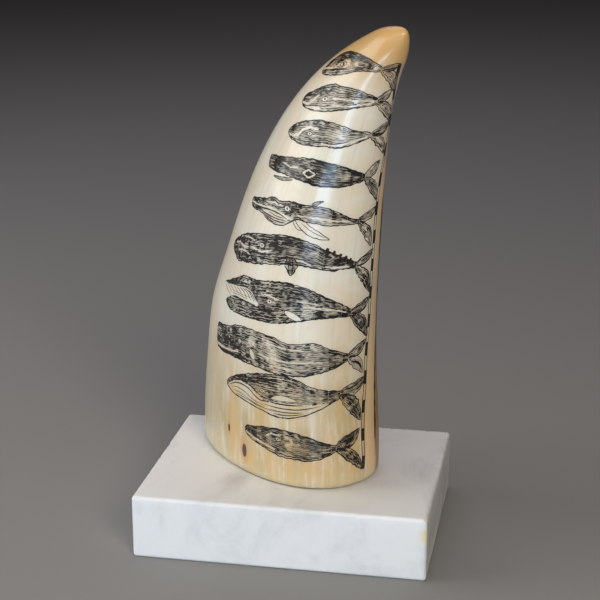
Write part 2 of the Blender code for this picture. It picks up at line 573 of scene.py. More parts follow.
whales = [
    {
        "snout": (140.6, -30.4), "root": (144.3, -5.4), "nose": .08, "spacing": .5,
        "tones": (.36, .2, .05), "wash": .42, "eye": (.4, 3.8, 1.1),
        "back": [(0, 2.6), (.08, 6), (.18, 9.3), (.37, 11.2), (.52, 9.8), (.66, 7.6), (.88, 3.2), (1, .6)],
        "belly": [(0, -.4), (.12, -1.2), (.3, -1.6), (.52, -1.2), (.7, -.1), (.85, -.6), (1, -1.2)],
        "patches": [(.42, 9.4, .16, 1.2, .3), (.6, 6.4, .08, 1.2, .24), (.86, 1.2, .08, 1.2, .16)],
        "windows": [
            ([(.18, 1.6), (.28, 3.2), (.37, 5.6), (.46, 6), (.52, 4.2), (.48, 2.4), (.34, 2)], .22, 0)],
        "pale": [([(-.02, 1.6), (.12, 2), (.22, 1.9)], .6)],
        "dark": [([(-.03, .8), (.14, .9), (.34, 1), (.5, 1.5)], .5),
            ([(.24, 3.4), (.33, 6.2), (.45, 7.4), (.56, 6.2)], .35),
            ([(.29, 2.4), (.36, 2.2), (.44, 2.3)], .26), ([(.02, 4.6), (.12, 7.2), (.24, 9.4)], .5)],
        "fins": [((1, 0), (1.25, .3), 1.15, -.05, .4, .3), ((1.01, -.6), (1.35, -10.6), 1.4, .08, .52)],
    },
    {
        "snout": (131.4, -33.1), "root": (133.4, -3.2), "nose": .06, "spacing": .5,
        "tones": (.36, .1, .05), "wash": .62, "eye": (.385, 1.4, 1),
        "back": [(0, 2.2), (.14, 4.2), (.31, 7.1), (.43, 8.1), (.56, 7), (.74, 5.5), (.88, 3.2), (1, 1.4)],
        "belly": [(0, -1.6), (.16, -3.1), (.34, -3.4), (.49, -3.1), (.65, -2.4), (.85, -1.4), (1, -.9)],
        "patches": [(.05, 1.2, .07, 1.4, .28), (.66, 3, .04, 2.6, .16), (.46, 4.8, .1, 1.4, .12)],
        "pale": [([(.02, -.8), (.14, -1.3), (.2, .4), (.27, 2.2)], .75), ([(.12, -2.4), (.34, -2.4)], .4),
            ([(.5, 1.9), (.7, 1.2), (.96, .6)], .35), ([(.52, -1), (.72, -1), (.96, -.2)], .35)],
        "dark": [([(.24, .6), (.3, 2.6), (.39, 3.6), (.48, 2.6)], .28),
            ([(.19, 1.6), (.28, 4), (.4, 5), (.52, 4)], .28),
            ([(.13, 2.2), (.26, 5.2), (.4, 6.4), (.54, 5.4)], .24),
            ([(.02, -1.8), (.14, -1.9), (.3, -1.4), (.46, -1.7)], .3),
            ([(.42, .6), (.5, 1), (.58, .4), (.7, .2)], .24),
            ([(.5, 3), (.6, 2.4), (.72, 2.6), (.84, 1.8)], .26), ([(0, 1.2), (.05, .2), (0, -.4)], .5)],
        "fins": [((1, .4), (1.16, 3.7), 1.5, -.1, .62), ((1, -.3), (1.33, -9.2), 1.5, .08, .5)],
    },
    {
        "snout": (121.4, -34.9), "root": (122.3, -2), "nose": .1, "spacing": .48, "tones": (.36, .16, .2),
        "wash": .6, "eye": (.335, .3, .8),
        "back": [(0, 1.6), (.12, 3.4), (.28, 5.1), (.47, 5.6), (.6, 4.8), (.71, 3.6), (.82, 2.1), (1, .8)],
        "belly": [(0, -1.8), (.13, -3.1), (.25, -3.8), (.4, -3.9), (.56, -3.6), (.66, -4), (.8, -2.7),
            (1, -.5)],
        "patches": [(.1, 1.2, .1, 1.6, .2), (.44, 2.8, .1, 1.6, .22), (.64, .4, .12, 1.8, -.16)],
        "pale": [([(0, -1.1), (.1, -1.5), (.18, -.6), (.23, 1.5), (.32, 2.6), (.42, 2.4)], .65),
            ([(.5, -2.7), (.62, -3.1), (.76, -2.2), (.94, -.4)], .55)],
        "dark": [([(.2, -.9), (.26, 1), (.33, 1.7), (.41, .8)], .26),
            ([(.02, -2), (.14, -2.4), (.28, -2.4)], .34), ([(.48, -2.2), (.62, -2.6), (.78, -1.6)], .3),
            ([(.28, -1), (.38, -1.4), (.44, -.4)], .24)],
        "fins": [((1, .3), (1.27, 3.9), 1.4, -.08, .66), ((1, -.3), (1.25, -8), 1.5, .08, .6)],
    },
    {
        "snout": (110, -42.5), "root": (108.3, -2.2), "nose": .02, "spacing": .44,
        "tones": (.66, .2, .16), "wash": .66,
        "back": [(0, 2.8), (.1, 3.2), (.3, 4.4), (.51, 5.6), (.69, 5), (.85, 3.2), (1, .8)],
        "belly": [(0, -1.4), (.08, -2), (.2, -2), (.38, -2.3), (.48, -2.7), (.6, -3.4), (.74, -3.3),
            (.88, -2.4), (1, -1.1)],
        "patches": [(.03, .6, .04, 3, -.34), (.13, 1.4, .05, 2, .4), (.22, .6, .06, 1, .16),
            (.7, .8, .08, 3, -.1)],
        "windows": [([(.77, 1.3), (.86, 1.2), (.97, .3), (.88, -.4), (.79, -.5)], .62, 0)],
        "pale": [([(.465, .3), (.52, 1.7), (.575, .3), (.52, -1.1), (.465, .3)], .3),
            ([(.24, 1.8), (.32, 1), (.4, 1.6)], .3)],
        "dark": [([(.45, .3), (.52, 2.1), (.59, .3), (.52, -1.5), (.45, .3)], .22),
            ([(.485, .3), (.52, 1), (.555, .3), (.52, -.4), (.485, .3)], .22),
            ([(.72, -1.7), (.82, -1.5), (1, -1)], .6), ([(.7, -3.2), (.78, -3)], .7),
            ([(.12, 2.7), (.18, 2.5), (.24, 2.6)], .7), ([(.1, -1.8), (.22, -1.8), (.34, -2)], .3)],
        "fins": [((.37, -2.7), (.12, -3.9), .45, .04, .55, .3),
            ((1, .3), (1.15, 5.2), 1.5, -.08, .42, .5, .26), ((1, -.3), (1.17, -8.8), 1.6, .1, .58)],
    },
    {
        "snout": (94.8, -49), "root": (93.6, -2.7), "nose": .03, "spacing": .46, "tones": (.46, .3, 0),
        "wash": .5, "eye": (.445, 2.9, .95),
        "back": [(0, 2.5), (.12, 3.4), (.22, 4.4), (.31, 5.6), (.36, 4.9), (.46, 5.6), (.62, 5.1),
            (.72, 5.1), (.83, 3.6), (.92, 1.4), (1, .4)],
        "belly": [(0, -.5), (.08, -1.2), (.16, -1), (.26, -2.8), (.35, -3.5), (.44, -2.9), (.48, -1.6),
            (.52, -.4), (.62, -.5), (.76, -1.1), (.89, -.9), (1, -.8)],
        "patches": [(.06, 1.6, .05, 1, .45), (.52, 2.6, .05, 1.6, .34), (.47, 1.2, .04, .6, .4),
            (.8, 1.6, .1, 1.2, .1), (.1, -.4, .05, .5, .35)],
        "windows": [
            ([(.15, -.2), (.24, .4), (.34, .5), (.43, -.1), (.475, -1.4), (.44, -2.7), (.35, -3.3),
                (.26, -2.6)], .34, 0)],
        "pale": [([(0, .9), (.12, .9), (.24, 1.3), (.34, 1.2), (.42, .4), (.5, -.4)], .45),
            ([(.24, 3.2), (.32, 3.9), (.38, 3.4)], .2), ([(.55, 1.4), (.75, .9), (.92, .2)], .3)],
        "dark": [([(.05, .2), (.16, .5), (.28, .8), (.38, .4), (.46, -.8)], .55),
            ([(.16, -.2), (.24, -1), (.34, -1.4), (.45, -1.5)], .46),
            ([(.18, -.8), (.26, -1.8), (.36, -2.3), (.45, -2.2)], .46),
            ([(.21, -1.6), (.28, -2.6), (.38, -3)], .34), ([(.26, .2), (.33, -.5), (.43, -.7)], .3),
            ([(.5, -.1), (.52, -2), (.56, -3.5), (.6, -3.3)], .26),
            ([(.57, -.8), (.65, -3.2), (.74, -5), (.78, -5.5)], .22)],
        "fins": [((.645, 5.2), (.73, 7.2), .25, .06, .6, .55),
            ((.53, .4), (.79, -5.9), 1.15, -.07, 0, .7), ((1, .3), (1.18, 4), 1.3, -.08, .56),
            ((1, -.4), (1.15, -9.8), 1.6, .08, .78)],
    },
    {
        "snout": (77.8, -58.7), "root": (78.1, -2.1), "nose": .04, "spacing": .44,
        "tones": (.7, .22, .14), "wash": .46, "ragged": .5, "eye": (.36, 5.2, .95),
        "back": [(0, 2.4), (.06, 4.2), (.18, 7.2), (.38, 9.3), (.56, 10.6), (.69, 9.4), (.8, 6.6),
            (.9, 3.8), (1, 1.2)],
        "belly": [(0, -1.2), (.05, -1.6), (.09, -3), (.2, -2.6), (.31, -1.8), (.49, -.1), (.63, .8),
            (.75, .1), (.84, -.8), (.92, -.4), (1, -.9)],
        "patches": [(.08, -1.6, .05, 1.2, .4), (.47, 6.8, .035, 2.8, .16), (.6, 5, .07, 3.6, -.14),
            (.2, -.6, .1, 1, .22), (.78, 3, .1, 2.6, -.26), (.93, .8, .06, 1.2, -.14)],
        "pale": [([(.05, 2.2), (.1, 3.2), (.16, 2.4), (.22, 2.8)], .4),
            ([(.26, 3.4), (.36, 3), (.44, 4.2)], .45), ([(.56, 2), (.66, 2.4), (.72, 1.4)], .25),
            ([(.84, .3), (.94, .2)], .5), ([(.12, 5.6), (.2, 6.4), (.28, 6.2)], .25),
            ([(.1, .4), (.18, 1.2), (.24, .6)], .3)],
        "dark": [([(.26, 4.2), (.32, 6.8), (.42, 7.2), (.46, 5.6)], .3),
            ([(.06, -1.3), (.18, -.4), (.34, 1), (.46, 1.4)], .34),
            ([(.22, 2.6), (.36, 1.9), (.46, 3)], .28), ([(.08, 4.6), (.14, 5), (.2, 4.2), (.24, 5)], .3),
            ([(.8, 6.9), (.82, 6.4)], 1.4), ([(.84, 5.7), (.86, 5.3)], 1.4),
            ([(.88, 4.7), (.9, 4.3)], 1.3), ([(.915, 3.7), (.935, 3.3)], 1.2),
            ([(.95, 2.8), (.965, 2.5)], 1)],
        "fins": [((.59, 3.4), (.6, -3), 1.55, .06, .6, 1, .36), ((1, .3), (1.14, 4.4), 1.3, -.08, .7),
            ((1, -.4), (1.14, -11), 1.8, .08, .8)],
    },
    {
        "snout": (61.3, -58.5), "root": (61.6, -2.8), "nose": 0, "spacing": .42, "tones": (.64, .18, .14),
        "open": True, "eye": (.47, 3.5, .9),
        "back": [(0, 4.8), (.06, 6.2), (.14, 8), (.22, 9.7), (.32, 9.6), (.46, 10.6), (.61, 11),
            (.71, 9.8), (.82, 7), (.92, 4), (1, 1.4)],
        "belly": [(0, -2.6), (.05, -4.2), (.14, -4.7), (.3, -4.4), (.44, -4), (.57, -3.2), (.68, -1.8),
            (.8, -.8), (1, -.9)],
        "patches": [(.08, 5.8, .14, 1.2, .5), (.17, 7.4, .09, 1.3, .3), (.4, -1.4, .1, 2.6, .42),
            (.34, 6.6, .06, 1.6, .22), (.55, 8, .035, 2.4, .3), (.7, 5.6, .03, 2.6, .3),
            (.8, 3, .12, 1.8, -.06), (.62, 4.6, .1, 1.4, .12), (.96, .3, .05, 1, .3)],
        "windows": [
            ([(-.03, 3.5), (.07, 4.4), (.15, 5.1), (.24, 5.7), (.31, 5), (.35, 2.8), (.38, 1.1), (.29, 1),
                (.18, 1.2), (.1, .5), (.06, 0), (.02, -1), (-.02, -2.6), (-.04, .5)], 0, 0),
            ([(.1, 4.2), (.2, 5.2), (.28, 5.2), (.35, 2.6), (.37, 1.2), (.26, 1.3), (.16, 1.3)], 0, 0)],
        "ovals": [(.635, -.2, 3.3, 1.15, -24, 0, .22), (.725, .8, 2, 1.7, 10, .4, 0)],
        "pale": [([(.7, 3.4), (.82, 2.8), (.96, .9)], .22), ([(.66, 5.2), (.78, 4.4)], .22),
            ([(.4, 5.4), (.47, 5.6), (.53, 4.6)], .3), ([(.2, 7.4), (.28, 8)], .25)],
        "dark": [([(-.05, 3.8), (0, 4), (.08, 4.6), (.16, 5.2), (.25, 5.8), (.31, 5), (.36, 2.2)], .3),
            ([(-.05, 3.9), (0, 4.6), (.06, 5.4), (.14, 6.4)], .8),
            ([(-.04, 3), (.02, 1.2), (.07, .1)], .2),
            ([(.08, .2), (.05, -.6), (.02, -1.8), (.01, -2.8)], .4),
            ([(.07, .1), (.13, .8), (.2, .9), (.3, .7)], .55), ([(0, 3.4), (.04, 2.6), (.075, 1.4)], .16),
            ([(.04, 3.8), (.09, 2.8), (.12, 1.4)], .16), ([(.09, 4.3), (.14, 3.2), (.17, 1.9)], .18),
            ([(.13, 4.6), (.18, 3.6), (.22, 1.9), (.24, 1.4)], .22),
            ([(.17, 5), (.23, 3.7), (.27, 1.5)], .26), ([(.2, 5.2), (.26, 4.2), (.31, 1.6)], .26),
            ([(.23, 5.4), (.28, 4.6), (.34, 1.6)], .28), ([(.27, 5.3), (.32, 3.8), (.35, 2)], .3),
            ([(.06, 2.4), (.14, 2.7), (.22, 2.7), (.32, 3)], .14),
            ([(.08, 1.5), (.18, 2), (.28, 1.8)], .14)],
        "fins": [((1, .4), (1.16, 3.9), 1.5, -.08, .88), ((1, -.3), (1.15, -10), 2, .08, .9)],
    },
    {
        "snout": (45.3, -64.6), "root": (46.3, -3.6), "nose": .02, "spacing": .42,
        "tones": (.48, .12, .18),
        "back": [(0, 4.4), (.12, 5), (.29, 7.5), (.42, 7.6), (.56, 7), (.66, 5.5), (.74, 5.8), (.8, 6.2),
            (.89, 3.7), (1, 1.2)],
        "belly": [(0, -3.2), (.05, -4.4), (.16, -4.6), (.3, -4.6), (.45, -4.9), (.6, -5.6), (.72, -5.6),
            (.85, -4.2), (1, -1.2)],
        "patches": [(.1, 2, .14, 6, .7), (.33, -1.4, .08, 2, .44), (.28, 4.6, .06, 1.6, .2),
            (.48, 2, .05, 3, .14), (.58, .8, .035, 3.2, -.3), (.66, .6, .05, 1.4, .22),
            (.8, .4, .1, 2, .16), (.97, .2, .05, 1.6, .36), (.46, -3, .08, 1.2, .2)],
        "ovals": [(.4, 3.6, 1.7, 2.1, 0, .42, 0), (.405, -1, 2, 1.15, -58, 0, .24),
            (.29, 2, 1.1, .8, 10, .3, .24)],
        "pale": [([(.01, -3), (.1, -3.2), (.2, -2.8), (.27, -2)], .6),
            ([(.5, 4.6), (.62, 3.8), (.74, 3.4)], .25), ([(.5, -.6), (.66, -1), (.84, -.6)], .22),
            ([(.54, -3.2), (.68, -3.6)], .22)],
        "dark": [([(0, -4.2), (.12, -4.2), (.26, -3.6), (.36, -3.4)], .75),
            ([(1.02, -1.6), (1.08, -3.4), (1.1, -6.2)], .7), ([(.36, .8), (.42, 1.2), (.47, .4)], .3)],
        "fins": [((1, .3), (1.14, 4.4), 1.4, -.08, .64), ((1, -.4), (1.11, -7), 1.7, .1, .34)],
    },
    {
        "snout": (30.5, -55.6), "root": (34, -7), "nose": .05, "spacing": .44, "tones": (.5, .24, 0),
        "outline": .32, "eye": (.415, 1.1, .8),
        "back": [(0, 1.2), (.07, 2.8), (.2, 4.9), (.37, 6.8), (.52, 7.4), (.66, 6.9), (.8, 3.6), (.9, 2),
            (1, 1.1)],
        "belly": [(0, -1), (.09, -2.7), (.27, -4.4), (.4, -5.8), (.52, -7.2), (.66, -7.2), (.82, -5),
            (.92, -3), (1, -1.5)],
        "patches": [(.22, 4, .2, 1.3, .45), (.45, 5.4, .1, 2, .16), (.62, 3, .16, 2.4, -.14),
            (.86, -.4, .1, 1.6, -.12)],
        "windows": [
            ([(.02, -.6), (.11, 1), (.2, 1.5), (.29, .6), (.36, -1.4), (.44, -2.6), (.56, -2.2),
                (.68, -2.4), (.84, -2.6), (.93, -2.4), (.8, -5.1), (.66, -7), (.52, -7), (.38, -5.4),
                (.2, -3.6), (.08, -2.4)], .03, 0),
            ([(.48, -1.2), (.53, .2), (.6, .4), (.7, -1.4), (.6, -1.6)], 0, .2)],
        "pale": [([(.04, .2), (.12, 1.8), (.2, 2.2), (.29, 1.3), (.35, -.6), (.41, -1.9)], .45)],
        "dark": [
            ([(.01, -.2), (.05, .8), (.12, 2.4), (.21, 2.8), (.3, 1.8), (.37, -.1), (.45, -1.4)], .42),
            ([(.03, -.6), (.11, 1.1), (.2, 1.5), (.28, .6), (.34, -1.2), (.4, -2.4), (.49, -1.9)], .42),
            ([(.05, -.9), (.13, -.2), (.22, -.8), (.32, -2.8), (.44, -4.2)], .24),
            ([(.07, -1.5), (.18, -1.8), (.3, -3.4), (.44, -5), (.56, -5.8)], .24),
            ([(.12, -2.4), (.24, -3.2), (.4, -5)], .24),
            ([(.42, -3.4), (.54, -4), (.7, -4.2), (.86, -3.2)], .34),
            ([(.46, -4.8), (.58, -5.4), (.74, -5.2)], .32), ([(.48, -2.4), (.6, -2.7), (.74, -2.8)], .42),
            ([(.5, -6.2), (.62, -6.4), (.74, -5.7)], .34), ([(.12, 3.6), (.22, 4.2), (.3, 4.8)], .7)],
        "fins": [((1, .2), (1.24, 3), 1.8, -.08, .66), ((1, -.5), (1.16, -11.4), 2.2, .1, .7)],
    },
    {
        "snout": (17.4, -45.3), "root": (15.3, -9.5), "nose": .06, "spacing": .38,
        "tones": (.54, .24, .1), "eye": (.43, .6, .75),
        "back": [(0, 1), (.12, 2), (.29, 3.5), (.51, 4.4), (.71, 3.6), (.87, 2), (1, .9)],
        "belly": [(0, -1.8), (.1, -3), (.25, -4), (.41, -5.2), (.6, -5.3), (.8, -4.6), (.92, -2.8),
            (1, -1.3)],
        "patches": [(.34, 2.6, .1, .9, .3), (.52, 2.8, .08, 1, .35), (.5, -2.2, .06, 1, .3),
            (.64, -1.2, .06, 1.4, -.16), (.2, .6, .1, 1.2, .14)],
        "pale": [([(.02, -1.2), (.12, -2), (.28, -2.8), (.38, -3.4)], .5),
            ([(.5, 2.4), (.57, 1.6), (.58, .2), (.52, -.8)], .45), ([(.3, .8), (.36, 2), (.46, 2.2)], .3)],
        "dark": [([(.02, -.7), (.14, -1.4), (.28, -2)], .3)],
        "fins": [((1, .3), (1.27, 5.8), 1.9, -.08, .86), ((1, -.4), (1.29, -9), 1.9, .1, .88)],
    },
]


# Finishes

ivory = {
    "cream": (0.80, 0.70, 0.55), "pale": (0.82, 0.77, 0.655), "honey": (0.62, 0.375, 0.14),
    "tan": (0.54, 0.405, 0.215), "oliveRootGlow": (0.56, 0.50, 0.31), "bark": (0.045, 0.009, 0.004),
    "amberAndLight": (0.82, 0.57, 0.30), "rust": (0.60, 0.30, 0.10), "chalk": (0.84, 0.79, 0.68),
    "blush": (0.66, 0.42, 0.17), "flankBrownAndShade": (0.36, 0.17, 0.06), "wash": (0.085, 0.075, 0.07),
}


def ivoryFinish():
    f = Finish("tooth_ivory", {
        "IOR": 1.45, "Subsurface Weight": 0.25, "Subsurface Radius": (1.0, 0.62, 0.34),
        "Subsurface Scale": 0.006, "Coat Roughness": 0.20, "Coat IOR": 1.5,
    })
    flow = f.attribute("flow", "Vector")
    streaks = f.noise(flow, 0.62, detail=5.0, roughness=0.6)
    fineStreaks = f.noise(flow, 2.1, detail=3.0)
    clouds = f.noise(f.position(), 0.055, detail=3.0, distortion=0.6)
    patches = f.noise(f.position((1.0, 1.0, 0.35)), 0.13, detail=4.0, roughness=0.62)
    stains = f.noise(f.position((1.0, 1.0, 0.28)), 0.21, detail=4.0, roughness=0.6)
    lowDown, flankBrownAndShade = f.attribute("lowDown"), f.attribute("flankBrownAndShade")
    f.feed("Base Color", f.layered(ivory, "cream", [
        (clouds.between(0.42, 0.66), "pale"),
        (streaks.between(0.45, 0.75) * 0.22, "tan"),
        (fineStreaks.between(0.50, 0.80) * 0.06, "tan"),
        (lowDown * (0.74 + 0.60 * patches.between(0.38, 0.66)), "tan"),
        (streaks.between(0.56, 0.30) * patches.between(0.62, 0.42) * lowDown * 0.6, "chalk"),
        (stains.between(0.46, 0.62) * (0.25 + 1.2 * streaks) * lowDown * 0.8, "blush"),
        (f.attribute("blush") * (0.25 + 1.2 * streaks), "blush"),
        # the amber band from the ruled line: partly the tooth's own honey colour, partly painted light
        # brightening the side as it turns away
        (f.attribute("edge") * (0.55 + 0.5 * streaks), "amberAndLight"),
        # painted light: the greener tint that light shining through the thin root wall gives along the
        # lower left edge and round the foot
        (f.attribute("oliveRootGlow") * (0.5 + 0.5 * patches), "oliveRootGlow"),
        (f.attribute("honey") * (0.84 + 0.4 * streaks), "honey"),
        # the dark brown flank past the second ruled line: partly the tooth's own brown, partly painted
        # shade of the side turning away from the light
        (flankBrownAndShade * (0.75 + 0.4 * streaks), "flankBrownAndShade"),
        ((f.attribute("halo") * (0.2 + 1.3 * patches)).between(0.20, 0.85) * 0.7, "rust"),
        ((f.attribute("spot") * (0.7 + 0.6 * fineStreaks)).between(0.20, 0.60), "bark"),
        (f.attribute("inkWash"), "wash"),
    ]))
    f.feed("Roughness", 0.40 + 0.14 * f.noise(f.position(), 0.25) + 0.06 * fineStreaks)
    f.feed("Coat Weight", (0.95 - 0.25 * streaks) * (1.0 - 0.8 * flankBrownAndShade))
    grain = f.noise(flow, 3.4, detail=2.0) * 0.5 + f.noise(f.position(), 1.1, detail=2.0) * 0.5
    f.bump(grain, 0.10, 0.0002)
    return f


def inkFinish():
    constants = {"IOR": 1.4, "Specular IOR Level": 0.2, "Coat Roughness": 0.20, "Coat Weight": 0.6}
    f = Finish("engraving_ink", constants)
    mottle = f.noise(f.position(), 0.9, detail=2.0)
    f.feed("Base Color", f.mix(mottle.between(0.35, 0.7), (0.008, 0.007, 0.006), (0.034, 0.028, 0.023)))
    f.feed("Roughness", 0.55 + 0.16 * mottle)
    return f


marble = {
    "white": (0.80, 0.80, 0.805), "grey": (0.60, 0.61, 0.63), "vein": (0.50, 0.51, 0.535),
    "stain": (0.80, 0.62, 0.30), "speck": (0.16, 0.14, 0.12), "cloudShadeGrey": (0.36, 0.335, 0.345),
    # Grey clouds in the stone on the front face, painted shadow of the tooth on the top beside its foot,
    # and painted shade over the whole right side face
    "cloudsAndShade": [  # grey places and their reach, in mm
        (43.0, 1.0, 22.2, 6.0, 10.0, 3.0), (36.0, -13.0, 22.2, 6.0, 4.0, 3.0),
        (-47.8, -39.0, 18.9, 1.6, 3.0, 2.2), (-40.5, -39.0, 18.3, 2.2, 4.0, 2.0),
        (-39.5, -39.0, 13.3, 0.8, 3.0, 5.0), (-19.0, -16.0, 22.2, 4.0, 8.0, 3.0),
        # painted shade: the whole right side face greyed
        (51.0, 4.0, 9.0, 2.0, 60.0, 16.0),
    ],
    "stainHeight": 16.3, "stainReach": (2.4, 2.4, 2.6),   # mm, on the front right edge
    "stainStrength": 0.75, "stainFade": (0.3, 1.5),       # where it fades, in reaches
    "speckPlace": (-0.0035, -0.0235), "speckFade": (0.2, 0.6),  # metres, and mm
    "edgeRound": 0.0012, "cells": (96, 75, 20),
    "nick": 0.0005, "nickSize": 0.0022, "nickFrom": 0.15,  # the nicks: depth, size, and least noise
}


def marbleFinish():
    f = Finish("white_marble", {
        "IOR": 1.5, "Specular IOR Level": 0.38,
        "Subsurface Weight": 0.10, "Subsurface Scale": 0.003, "Subsurface Radius": (1.0, 0.9, 0.8),
    })
    slanted = f.position((1.0, 0.55, 0.8), (0.2, 0.3, 0.9))
    clouds = f.noise(slanted, 0.045, detail=5.0, roughness=0.6, distortion=0.8)
    wisps = f.noise(slanted, 0.030, detail=6.0, roughness=0.55, distortion=1.6)
    veins = 1.0 - (wisps - 0.5).distance().between(0.0, 0.05)
    crystals = f.noise(f.position(), 1.4, detail=2.0)
    f.feed("Base Color", f.layered(marble, "white", [
        (clouds.between(0.46, 0.78) * 0.50, "grey"),
        (veins * clouds.between(0.45, 0.65) * 0.16, "vein"),
        (crystals.between(0.40, 0.75) * 0.07, "grey"),
        # grey clouds, with painted shadow on the top beside the tooth and painted shade over the right
        # side
        (f.attribute("cloudsAndShade") * (0.15 + clouds.between(0.35, 0.65)) * 0.5, "cloudShadeGrey"),
        (f.attribute("stain") * (0.5 + 0.8 * crystals), "stain"),
        (f.attribute("speck"), "speck"),
    ]))
    f.feed("Roughness", 0.42 + 0.14 * crystals)
    f.bump(crystals, 0.05, 0.0002)
    return f


# The ruled lines down the front edge, as (mm above the foot, mm round)

rulerPath = [
    (5.5, 1.2), (7.9, 1.5), (17.3, 1.6), (26.6, 2.5), (35, 4), (45, 5), (55.3, 6.3), (64.1, 6.5),
    (80.1, 6.1), (95.1, 5.5), (105.3, 5.7), (115.2, 7), (122, 7.2), (127.6, 6.8), (134.7, 4.1),
    (140.4, 1.8), (145.4, 0.3),
]
secondPath = [
    (7, 9), (18.6, 9.6), (28, 10.4), (40.5, 12.3), (52, 13.8), (63, 13.9), (74.8, 13), (83.8, 12),
    (93.4, 11), (104, 10.5),
]
ruler = {  # mm
    "halfGap": 0.66, "lineWidth": 0.34, "block": 4.93, "blockWidth": 1.6, "secondWidth": 1.5,
    "points": 420, "seed": 71,
}


# The skin of the tooth

def skinGrid():
    # Rows of the surface function, closer together where the foot edge and the tip are round.
    height = tooth["height"]
    foot = tooth["footRound"] / height
    tip = tooth["tipRound"] / height
    quarter = np.linspace(0, math.pi / 2, tooth["footRows"] + 1)
    low = foot * (1 - np.cos(quarter))
    body = np.linspace(foot, 1 - tip, tooth["bodyRows"] + 1)[1:]
    top = 1 - tip * (1 - np.sin(np.linspace(0, math.pi / 2, tooth["tipRows"] + 1)[1:]))
    share = np.concatenate([low, body, top[:-1]])
    turn = -math.pi + np.arange(tooth["columns"]) * 2 * math.pi / tooth["columns"]
    return np.broadcast_arrays(share[:, None], turn[None, :])


def skinFaces(rows, columns):
    # Squares between neighbouring rows, and a fan that closes the foot and the tip
    k = np.arange(columns)
    after = (k + 1) % columns
    base = (np.arange(rows - 1) * columns)[:, None]
    squares = np.stack([base + k, base + after, base + columns + after, base + columns + k], -1)
    footMiddle, tipPoint = rows * columns, rows * columns + 1
    last = (rows - 1) * columns
    footFan = np.stack([after, k, np.full(columns, footMiddle)], 1)
    tipFan = np.stack([last + k, last + after, np.full(columns, tipPoint)], 1)
    return squares.reshape(-1, 4).tolist() + footFan.tolist() + tipFan.tolist()


marks = {  # places and reaches in mm on the chart: where a colour begins and where it is full, or ends
    "tipHoney": (132.0, 151.0), "lowDown": (12.0, 62.0), "leftEdge": (45, 78),
    "oliveRootGlow": (14, 44), "footRimGlow": (2, 7), "belowTip": (118, 142),
    "leftLess": 0.45, "oliveRootGlowStrength": 0.75, "footRimGlowStrength": 0.5, "honeySlant": 0.10,
    "edge": (0.3, 1.8), "edgeEnd": (22, 60), "flankBrownAndShade": (-0.6, 1.6), "flankBrownAndShadeEnd": (17, 46),
    "spots": [(8.6, -46.2, 1.4, 3.0), (14.2, -55.4, 0.7, 1.8)],  # up, round, wide, tall
    "spotReach": (0.35, 1.25), "haloReach": (0.6, 3.0),          # in sizes of the spot
    "blushes": [                                                 # and the strength
        (17.0, -55.2, 1.5, 6.5, 0.8), (5.6, -44.6, 2.4, 3.2, 0.7), (28.0, -37.5, 2.2, 8.0, 0.35),
        (13.0, -2.0, 8.0, 9.0, 0.35), (7.5, -19.0, 9.0, 3.6, 0.40), (14.0, 8.6, 2.6, 6.0, 0.7),
        (2.6, -24.0, 9.0, 1.6, 0.5), (31.0, -52.0, 2.0, 8.0, 0.3), (88.0, 3.0, 2.4, 12.0, 0.3),
        (60.0, -4.0, 3.0, 7.0, 0.3), (12.0, -52.5, 4.0, 9.0, 0.55), (40.0, -66.0, 2.0, 12.0, 0.35),
        (46.0, -8.0, 4.0, 6.0, 0.3), (9.0, -34.0, 3.0, 5.0, 0.35),
    ],
    "washReach": 18,  # mm above and below its snout that a whale's grey can lie
}


def smoothStep(value, low, high):
    t = np.clip((value - low) / (high - low), 0, 1)
    return t * t * (3 - 2 * t)


